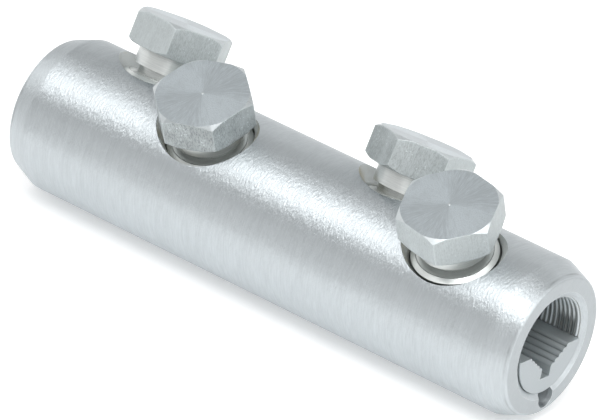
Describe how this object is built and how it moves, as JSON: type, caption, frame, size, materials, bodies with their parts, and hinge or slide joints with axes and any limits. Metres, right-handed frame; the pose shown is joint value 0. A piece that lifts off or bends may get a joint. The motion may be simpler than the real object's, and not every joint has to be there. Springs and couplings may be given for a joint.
{
  "type": "shear bolt connector",
  "caption": "Inline sleeve that joins two stranded conductors end to end, clamped in ridged liners by shear bolts.",
  "frame": {"origin": "centre of the left socket's mouth, on the sleeve's axis", "axes": "+X along the sleeve from the left mouth to the right one, +Z midway between the two rows of bolts, +Y towards the rear row"},
  "size_m": [0.1265, 0.0386, 0.0448],
  "materials": {
    "sleeve": "turned, satin",
    "liner": "extruded, matt",
    "bolt": "drawn flats with turned faces, satin"
  },
  "bodies": {
    "connector": {"sleeve": "sleeve", "left_liner": "liner", "right_liner": "liner"},
    "left_rear_bolt": {"left_rear_bolt": "bolt"},
    "left_front_bolt": {"left_front_bolt": "bolt"},
    "right_rear_bolt": {"right_rear_bolt": "bolt"},
    "right_front_bolt": {"right_front_bolt": "bolt"}
  },
  "joints": [
    {"name": "left_rear_screw", "type": "slide", "parent": "connector", "child": "left_rear_bolt", "axis": [0, 0.3827, 0.9239], "range_m": [-0.002, 0.0052]},
    {"name": "left_front_screw", "type": "slide", "parent": "connector", "child": "left_front_bolt", "axis": [0, -0.3827, 0.9239], "range_m": [-0.0003, 0.0069]},
    {"name": "right_rear_screw", "type": "slide", "parent": "connector", "child": "right_rear_bolt", "axis": [0, 0.3827, 0.9239], "range_m": [-0.00105, 0.00615]},
    {"name": "right_front_screw", "type": "slide", "parent": "connector", "child": "right_front_bolt", "axis": [0, -0.3827, 0.9239], "range_m": [-0.002, 0.0052]}
  ]
}
